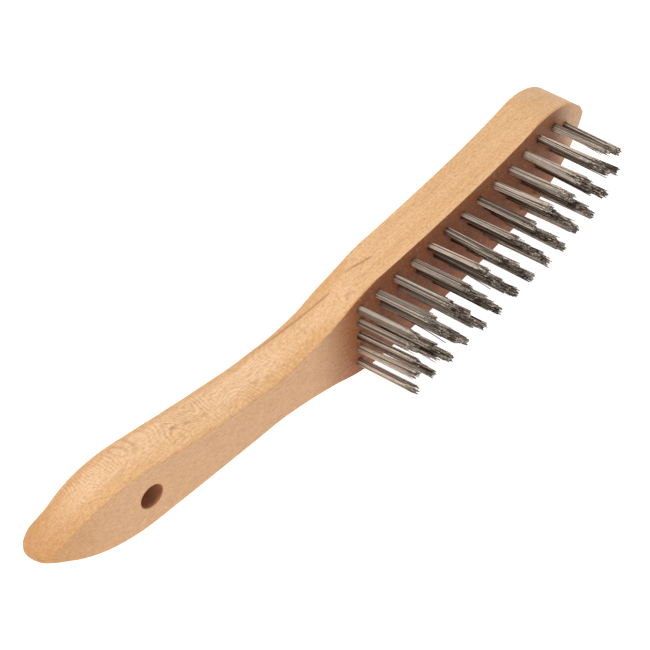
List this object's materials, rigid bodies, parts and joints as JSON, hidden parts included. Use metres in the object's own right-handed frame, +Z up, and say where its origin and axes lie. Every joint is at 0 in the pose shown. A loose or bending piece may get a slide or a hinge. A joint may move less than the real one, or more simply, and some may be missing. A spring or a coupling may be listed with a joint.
{
  "type": "wire brush",
  "caption": "Hand wire brush with a one-piece beech head and bowed handle, a hanging hole, and rows of steel wire tufts set in sockets.",
  "frame": {"origin": "bottom centre of the bounding box, under the flat side of the head that the brush lies on", "axes": "+X along the brush from the end of the handle to the toe, +Y from the wire tips to the back of the wood, +Z up across the width of the head"},
  "size_m": [0.2901, 0.0592, 0.0386],
  "materials": {
    "beech": "smooth bare beech, sanded, with a fine straight grain",
    "steel_wire": "bright-drawn carbon steel wire, slightly oiled, with dark cut tips",
    "anchor_steel": "flat drawn steel anchor wire"
  },
  "bodies": {
    "root": {"wooden_body": "beech", "tuft_row_1": "steel_wire", "tuft_row_2": "steel_wire", "tuft_row_3": "steel_wire", "tuft_row_4": "steel_wire", "tuft_row_5": "steel_wire", "staple_row_1": "anchor_steel", "staple_row_2": "anchor_steel", "staple_row_3": "anchor_steel", "staple_row_4": "anchor_steel", "staple_row_5": "anchor_steel"}
  },
  "joints": []
}
